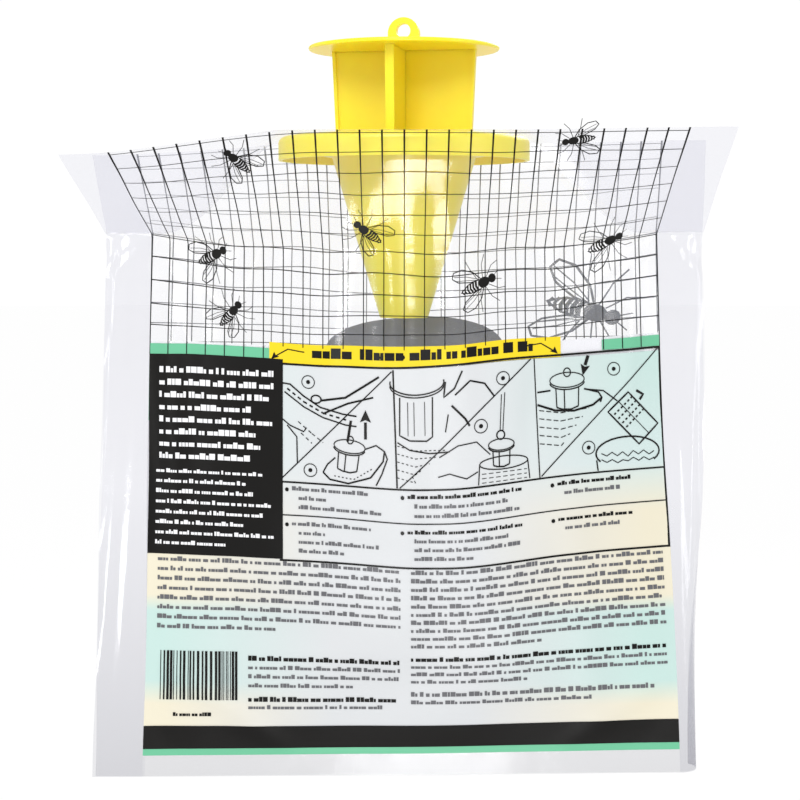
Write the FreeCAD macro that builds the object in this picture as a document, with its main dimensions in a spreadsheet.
import FreeCAD, Part
import os
import Sketcher

# A hanging bag trap for flies. A moulded cap, four vanes and an entry funnel hang from an eye.
# A flange ring slides up and down the vanes and carries the film bag with its bait sachet.
# The origin is the centre of the hanging eye. X runs across the bag, -Y is its label side, +Z is up.
# All lengths are millimetres, and a "drop" is measured down from the eye.

SHEET = "dims"
PARTS = "parts"

SIZES = {
    # cap: lug with the hanging eye, and the cover disc below it
    "cap_turn": -11.5,
    "eye_radius": 2.5,
    "lug_half": 5.45,
    "lug_spring": 0.8,
    "lug_thick": 2.8,
    "disc_drop": 5.3,
    "disc_thick": 1.5,
    "disc_radius": 33.0,
    # four vanes with a bead along each outer edge
    "vane_thick": 1.4,
    "bead_wide": 3.0,
    "bead_thick": 1.2,
    "reach_cap": 25.3,
    "reach_rim": 23.7,
    "reach_foot": 22.2,
    "foot_drop": 47.0,
    # entry funnel
    "rim_drop": 41.7,
    "rim_thick": 1.3,
    "rim_radius": 28.0,
    "mouth_radius": 23.95,
    "funnel_wall": 1.2,
    "tip_drop": 99.0,
    "tip_radius": 8.4,
    # flange ring
    "ring_radius": 43.6,
    "ring_thick": 1.4,
    "ring_round": 2.4,
    "hole_radius": 26.0,
    "collar_thick": 1.3,
    "collar_drop": 41.4,
    "skirt_thick": 1.3,
    "skirt_drop": 44.6,
    # film bag
    "film_thick": 0.6,
    "film_half": 94.5,
    "fold_half": 88.0,
    "seal_wide": 16.0,
    "base_drop": 262.0,
    "lip_edge": 34.0,
    "mouth_edge": 45.8,
    "flat_half": 48.0,
    "flat_edge": 42.6,
    "pleat_half": 94.0,
    "pleat_edge": 33.6,
    "pleat_drop": 71.1,
    # bait sachet
    "sachet_drop": 212.0,
    "sachet_half_x": 30.0,
    "sachet_half_y": 6.0,
    "sachet_half_z": 32.0,
    "sachet_wall": 0.4,
    "sachet_hem": 4.0,
}

# Heights at which the film's cross section is set: name, drop, and how far its middle bulges from Y = 0.
# Above the fold the side edges lean out with the front or back, and below it they meet in the side seals.
STATIONS_ABOVE_FOLD = (
    ("lip", 36.5, 46.0),
    ("skirt", 45.6, 45.2),
)
STATIONS_BELOW_FOLD = (
    ("fold", 72.0, 32.0),
    ("chest", 91.0, 29.5),
    ("fill", 111.0, 27.0),
    ("waist", 135.0, 24.0),
    ("label", 170.0, 19.0),
    ("low", 215.0, 11.5),
    ("hem", 252.0, 1.2),
)

# Sketcher's numbers for its own origin and axes, and for the first and last point of an edge.
ORIGIN = -1
H_AXIS = -1
V_AXIS = -2
FIRST = 1
LAST = 2
CENTRE = 3

doc = FreeCAD.newDocument("fly_trap")
sheet = doc.addObject("Spreadsheet::Sheet", SHEET)


def fill_sheet():
    cells = dict(SIZES)
    for name, drop, bulge in STATIONS_ABOVE_FOLD + STATIONS_BELOW_FOLD:
        cells[f"{name}_level"] = drop
        cells[f"{name}_bulge"] = bulge
    for row, (alias, size) in enumerate(cells.items(), start=1):
        sheet.set(f"A{row}", alias)
        sheet.set(f"B{row}", str(size))
        sheet.setAlias(f"B{row}", alias)
    doc.recompute()


def number(expression):
    return float(sheet.evalExpression(expression)) if expression else 0.0


def point(corner):
    return FreeCAD.Vector(number(corner[0]), number(corner[1]), 0)


def new_body(label, turn=None):
    body = doc.addObject("PartDesign::Body", label)
    body.Label = label
    if turn:
        body.setExpression("Placement.Rotation.Angle", turn)
    return body


def new_sketch(body, name, plane, offset=None):
    sketch = body.newObject("Sketcher::SketchObject", name)
    support = [feature for feature in body.Origin.OriginFeatures if feature.Role == plane]
    sketch.AttachmentSupport = [(support[0], "")]
    sketch.MapMode = "FlatFace"
    if offset:
        sketch.setExpression("AttachmentOffset.Base.z", offset)
    return sketch


def fix_point(sketch, edge, end, corner):
    """Holds one point of a sketch at a corner given as two expressions; None keeps it on that axis."""
    for kind, axis, expression in (("DistanceX", V_AXIS, corner[0]), ("DistanceY", H_AXIS, corner[1])):
        if expression is None:
            sketch.addConstraint(Sketcher.Constraint("PointOnObject", edge, end, axis))
            continue
        distance = Sketcher.Constraint(kind, ORIGIN, FIRST, edge, end, number(expression))
        index = sketch.addConstraint(distance)
        sketch.setExpression(f"Constraints[{index}]", expression)


def draw_arc(sketch, start, middle, stop):
    """Adds an arc, always anticlockwise, and says which of its points lie at start and stop."""
    clockwise = (middle - start).cross(stop - middle).z < 0
    if clockwise:
        return sketch.addGeometry(Part.Arc(stop, middle, start)), LAST, FIRST
    return sketch.addGeometry(Part.Arc(start, middle, stop)), FIRST, LAST


def draw_outline(sketch, corners, via=None):
    """Draws a closed outline. The edge after corner i is an arc if via holds a point for i."""
    via = via or {}
    places = [point(corner) for corner in corners]
    ends = []
    for i, start in enumerate(places):
        stop = places[(i + 1) % len(places)]
        if i in via:
            ends.append(draw_arc(sketch, start, point(via[i]), stop))
            middle = sketch.addGeometry(Part.Point(point(via[i])), True)
            fix_point(sketch, middle, FIRST, via[i])
            sketch.addConstraint(Sketcher.Constraint("PointOnObject", middle, FIRST, ends[-1][0]))
        else:
            ends.append((sketch.addGeometry(Part.LineSegment(start, stop)), FIRST, LAST))
    for i, (edge, first, _) in enumerate(ends):
        before, _, last = ends[i - 1]
        sketch.addConstraint(Sketcher.Constraint("Coincident", before, last, edge, first))
        fix_point(sketch, edge, first, corners[i])


def draw_circle(sketch, radius):
    size = number(radius)
    circle = sketch.addGeometry(Part.Circle(FreeCAD.Vector(), FreeCAD.Vector(0, 0, 1), size))
    sketch.addConstraint(Sketcher.Constraint("Coincident", circle, CENTRE, ORIGIN, FIRST))
    index = sketch.addConstraint(Sketcher.Constraint("Radius", circle, size))
    sketch.setExpression(f"Constraints[{index}]", radius)


def turned(label, corners, via=None):
    """A body turned about Z from an outline of (radius, height) corners."""
    body = new_body(label)
    sketch = new_sketch(body, f"{label}_profile", "XZ_Plane")
    draw_outline(sketch, corners, via)
    feature = body.newObject("PartDesign::Revolution", f"{label}_turned")
    feature.Profile = sketch
    feature.ReferenceAxis = (sketch, ["V_Axis"])
    feature.Angle = 360
    return body


def plate(label, corners, thick, via=None, hole=None, turn=None):
    """A flat body centred on Y = 0, from an outline of (x, z) corners and an optional round hole."""
    body = new_body(label, turn)
    sketch = new_sketch(body, f"{label}_outline", "XZ_Plane")
    draw_outline(sketch, corners, via)
    if hole:
        draw_circle(sketch, hole)
    feature = body.newObject("PartDesign::Pad", f"{label}_pad")
    feature.Profile = sketch
    feature.Midplane = True
    feature.setExpression("Length", thick)
    return body


def lofted(label, plane, sections, turn=None):
    """A body with straight runs between sections, each an offset along the plane's normal, corners and arcs."""
    body = new_body(label, turn)
    sketches = []
    for i, (offset, corners, via) in enumerate(sections):
        sketch = new_sketch(body, f"{label}_section_{i}", plane, offset)
        draw_outline(sketch, corners, via)
        sketches.append(sketch)
    feature = body.newObject("PartDesign::AdditiveLoft", f"{label}_loft")
    feature.Profile = sketches[0]
    feature.Sections = sketches[1:]
    feature.Ruled = True
    return body


def make_disc():
    under = "-(dims.disc_drop + dims.disc_thick)"
    edge = "dims.disc_radius - dims.disc_thick / 2"
    corners = [(None, "-dims.disc_drop"), (edge, "-dims.disc_drop"), (edge, under), (None, under)]
    rim = ("dims.disc_radius", "-(dims.disc_drop + dims.disc_thick / 2)")
    return turned("cap_disc", corners, {1: rim})


def make_loop():
    foot, spring = "-dims.disc_drop", "-dims.lug_spring"
    corners = [
        ("-dims.lug_half", foot),
        ("dims.lug_half", foot),
        ("dims.lug_half", spring),
        ("-dims.lug_half", spring),
    ]
    crown = (None, "dims.lug_half - dims.lug_spring")
    return plate("hang_loop", corners, "dims.lug_thick", {2: crown}, "dims.eye_radius", "dims.cap_turn")


def vane_section(drop, reach):
    half, bead = "dims.vane_thick / 2", "dims.bead_wide / 2"
    neck = f"{reach} - dims.bead_thick"
    one_side = [(half, half), (neck, half), (neck, bead), (reach, bead)]
    other_side = [(x, f"-{y}") for x, y in reversed(one_side)]
    return f"-({drop})", [(None, None)] + one_side + other_side, None


def make_vanes():
    """Four vanes that meet at the axis, each a quarter turn on from the one before."""
    sections = [
        vane_section("dims.disc_drop + dims.disc_thick", "dims.reach_cap"),
        vane_section("dims.rim_drop", "dims.reach_rim"),
        vane_section("dims.foot_drop", "dims.reach_foot"),
    ]
    names = ("vane_right", "vane_back", "vane_left", "vane_front")
    for i, name in enumerate(names):
        lofted(name, "XY_Plane", sections, f"dims.cap_turn + {i} * 360 / {len(names)}")


def make_funnel():
    top, ledge, tip = "-dims.rim_drop", "-(dims.rim_drop + dims.rim_thick)", "-dims.tip_drop"
    corners = [
        ("dims.mouth_radius", top),
        ("dims.rim_radius", top),
        ("dims.rim_radius", ledge),
        ("dims.mouth_radius + dims.funnel_wall", ledge),
        ("dims.tip_radius", tip),
        ("dims.tip_radius - dims.funnel_wall", tip),
    ]
    return turned("entry_funnel", corners)


def make_ring():
    """The flange that the film is welded to: a flat top, a skirt round it and a collar that guides the vanes."""
    top, under = "-dims.lip_level", "-(dims.lip_level + dims.ring_thick)"
    skirt, collar = "-dims.skirt_drop", "-dims.collar_drop"
    inside, guide = "dims.ring_radius - dims.skirt_thick", "dims.hole_radius + dims.collar_thick"
    cut = "dims.ring_round * (1 - sqrt(0.5))"
    corners = [
        ("dims.hole_radius", top),
        ("dims.ring_radius - dims.ring_round", top),
        ("dims.ring_radius", "-(dims.lip_level + dims.ring_round)"),
        ("dims.ring_radius", skirt),
        (inside, skirt),
        (inside, under),
        (guide, under),
        (guide, collar),
        ("dims.hole_radius", collar),
    ]
    return turned("flange_ring", corners, {1: (f"dims.ring_radius - {cut}", f"-(dims.lip_level + {cut})")})


def film_half(name, end, half):
    """The film's half width at a station, on a straight line from the fold to its end."""
    share = f"(dims.{name}_level - dims.fold_level) / ({end} - dims.fold_level)"
    return f"dims.fold_half + ({half} - dims.fold_half) * {share}"


def film_section(name, half, edge):
    """A thin crescent: its ends stand at edge from Y = 0 and its middle at the station's bulge."""
    bulge = f"dims.{name}_bulge"
    outer = f"-({edge} + dims.film_thick)" if edge else "-dims.film_thick"
    inner = f"-({edge})" if edge else None
    corners = [(f"-({half})", outer), (half, outer), (half, inner), (f"-({half})", inner)]
    via = {0: (None, f"-({bulge} + dims.film_thick)"), 2: (None, f"-{bulge}")}
    return f"-dims.{name}_level", corners, via


def make_panels():
    """The label side and the far side of the bag, which are alike."""
    sections = []
    for name, _, _ in STATIONS_ABOVE_FOLD:
        half = film_half(name, "dims.lip_level", "dims.film_half")
        edge = f"dims.lip_edge * (dims.fold_level - dims.{name}_level) / (dims.fold_level - dims.lip_level)"
        sections.append(film_section(name, half, edge))
    for name, _, _ in STATIONS_BELOW_FOLD:
        sections.append(film_section(name, film_half(name, "dims.base_drop", "dims.film_half"), None))
    lofted("bag_front_panel", "XY_Plane", sections)
    lofted("bag_back_panel", "XY_Plane", sections, "180")


def ear_section(drop, half, edge, sign):
    outer = f"-({edge} + dims.film_thick)" if edge else "-dims.film_thick"
    inner = f"-{edge}" if edge else None
    near, far = f"{sign}({half})", f"{sign}({half} + dims.seal_wide)"
    return f"-{drop}", [(near, outer), (far, outer), (far, inner), (near, inner)], None


def make_ears():
    """The side margins above the fold, where each panel is sealed to the gusset and leans out with it."""
    ends = (("dims.lip_level", "dims.film_half", "dims.lip_edge"), ("dims.fold_level", "dims.fold_half", None))
    for side, sign, opposite in (("left", "-", "right"), ("right", "", "left")):
        sections = [ear_section(*end, sign) for end in ends]
        lofted(f"ear_front_{side}", "XY_Plane", sections)
        lofted(f"ear_back_{opposite}", "XY_Plane", sections, "180")


def gusset_section(offset, edge, dip):
    top, over = "-dims.lip_level", "-(dims.lip_level - dims.film_thick)"
    corners = [
        (f"-{edge}", top),
        (None, f"-{dip}"),
        (edge, top),
        (edge, over),
        (None, f"-({dip} - dims.film_thick)"),
        (f"-{edge}", over),
    ]
    return offset, corners, None


def make_gusset():
    """The bag's top: flat over the ring, with a pleat at each end that dips to the fold, and a round mouth."""
    flat = ("dims.flat_edge", "dims.lip_level")
    pleat = ("dims.pleat_edge", "dims.pleat_drop")
    sections = [
        gusset_section("-dims.pleat_half", *pleat),
        gusset_section("-dims.flat_half", *flat),
        gusset_section(None, "dims.mouth_edge", "dims.lip_level"),
        gusset_section("dims.flat_half", *flat),
        gusset_section("dims.pleat_half", *pleat),
    ]
    body = lofted("bag_top_gusset", "YZ_Plane", sections)
    sketch = new_sketch(body, "mouth_outline", "XY_Plane")
    draw_circle(sketch, "dims.hole_radius")
    mouth = body.newObject("PartDesign::Pocket", "mouth")
    mouth.Profile = sketch
    mouth.Midplane = True
    mouth.setExpression("Length", "2 * dims.fold_level")
    return body


def make_seals():
    """The heat sealed margins below the fold, where the two panels are one double thickness of film."""
    double = "2 * dims.film_thick"
    corners = [
        ("dims.fold_half", "-dims.fold_level"),
        ("dims.fold_half + dims.seal_wide", "-dims.fold_level"),
        ("dims.film_half + dims.seal_wide", "-dims.base_drop"),
        ("dims.film_half", "-dims.base_drop"),
    ]
    plate("side_seal_right", corners, double)
    plate("side_seal_left", corners, double, turn="180")
    hem = film_half("hem", "dims.base_drop", "dims.film_half")
    corners = [
        (f"-({hem})", "-dims.hem_level"),
        (hem, "-dims.hem_level"),
        ("dims.film_half", "-dims.base_drop"),
        ("-dims.film_half", "-dims.base_drop"),
    ]
    plate("bottom_seal", corners, double)


def ellipsoid(name, inset):
    """A pillow shape about the sachet's centre, smaller than the sachet by an inset all round."""
    pillow = doc.addObject("Part::Ellipsoid", name)
    for prop, half in (("Radius1", "half_z"), ("Radius2", "half_x"), ("Radius3", "half_y")):
        pillow.setExpression(prop, f"dims.sachet_{half} - {inset}")
    pillow.setExpression("Placement.Base.z", "-dims.sachet_drop")
    return pillow


def make_sachet():
    """The soluble film sachet with its flat sealed hem, and the bait powder inside it."""
    hem = doc.addObject("Part::Box", "sachet_hem")
    for prop, axis, half in (
        ("Length", "x", "dims.sachet_half_x + dims.sachet_hem"),
        ("Width", "y", "dims.sachet_wall"),
        ("Height", "z", "dims.sachet_half_z + dims.sachet_hem"),
    ):
        hem.setExpression(prop, f"2 * ({half})")
        middle = "dims.sachet_drop" if axis == "z" else "0"
        hem.setExpression(f"Placement.Base.{axis}", f"-({half}) - {middle}")
    outside = doc.addObject("Part::Fuse", "sachet_outside")
    outside.Base = ellipsoid("sachet_pillow", "0")
    outside.Tool = hem
    pouch = doc.addObject("Part::Cut", "attractant_pouch")
    pouch.Label = "attractant_pouch"
    pouch.Base = outside
    pouch.Tool = ellipsoid("sachet_hollow", "dims.sachet_wall")
    powder = ellipsoid("attractant_powder", "2 * dims.sachet_wall")
    powder.Label = "attractant_powder"
    return [pouch, powder]


def check_and_write(pieces):
    doc.recompute()
    for item in doc.Objects:
        if "Invalid" in item.State or "Error" in item.State:
            raise RuntimeError(f"{item.Name} did not build: {item.State}")
    os.makedirs(PARTS, exist_ok=True)
    for piece in pieces:
        shape = piece.Shape
        if shape.isNull() or not shape.isValid():
            raise RuntimeError(f"{piece.Label} has no valid shape")
        shape.exportStep(os.path.join(PARTS, f"{piece.Label}.step"))
        print(f"{piece.Label}: {len(shape.Solids)} solid, {shape.Volume:.1f} mm3")


fill_sheet()
make_disc()
make_loop()
make_vanes()
make_funnel()
make_ring()
make_panels()
make_ears()
make_gusset()
make_seals()
sachet = make_sachet()
bodies = [item for item in doc.Objects if item.TypeId == "PartDesign::Body"]
check_and_write(bodies + sachet)
